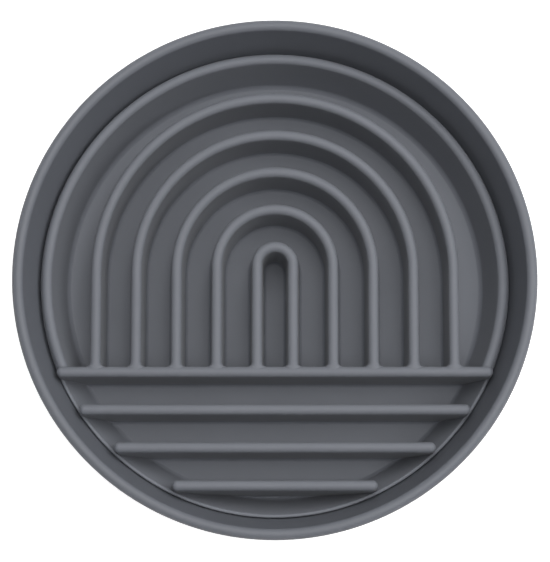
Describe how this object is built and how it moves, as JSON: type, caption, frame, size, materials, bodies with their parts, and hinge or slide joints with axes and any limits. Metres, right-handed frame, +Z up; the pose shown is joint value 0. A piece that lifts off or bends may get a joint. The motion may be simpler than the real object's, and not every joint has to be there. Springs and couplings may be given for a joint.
{
  "type": "slow feeder bowl",
  "caption": "Round slow feeder bowl for a pet, with a lift-out maze insert of nested arches over straight bars that holds dry food back from being gulped.",
  "frame": {"origin": "middle of the round footprint, on the surface that the bowl stands on", "axes": "+Z up out of the bowl, +Y towards the crowns of the arches, -Y towards the straight bars, +X to the right of someone who looks down with the bars nearest"},
  "size_m": [0.21, 0.21, 0.045],
  "materials": {
    "bowl_plastic": "fine matt moulded grey plastic",
    "insert_silicone": "matt moulded grey silicone rubber",
    "grip_rubber": "matt dark grey rubber"
  },
  "bodies": {
    "bowl": {"bowl": "bowl_plastic", "grip_ring": "grip_rubber"},
    "maze_insert": {"maze_floor": "insert_silicone", "edge_wall": "insert_silicone", "edge_ring": "insert_silicone", "arch_1": "insert_silicone", "arch_2": "insert_silicone", "arch_3": "insert_silicone", "arch_4": "insert_silicone", "arch_5": "insert_silicone", "bar_1": "insert_silicone", "bar_2": "insert_silicone", "bar_3": "insert_silicone", "bar_4": "insert_silicone"}
  },
  "joints": [
    {"name": "insert_lift", "type": "slide", "parent": "bowl", "child": "maze_insert", "axis": [0, 0, 1], "range_m": [0, 0.05]}
  ]
}
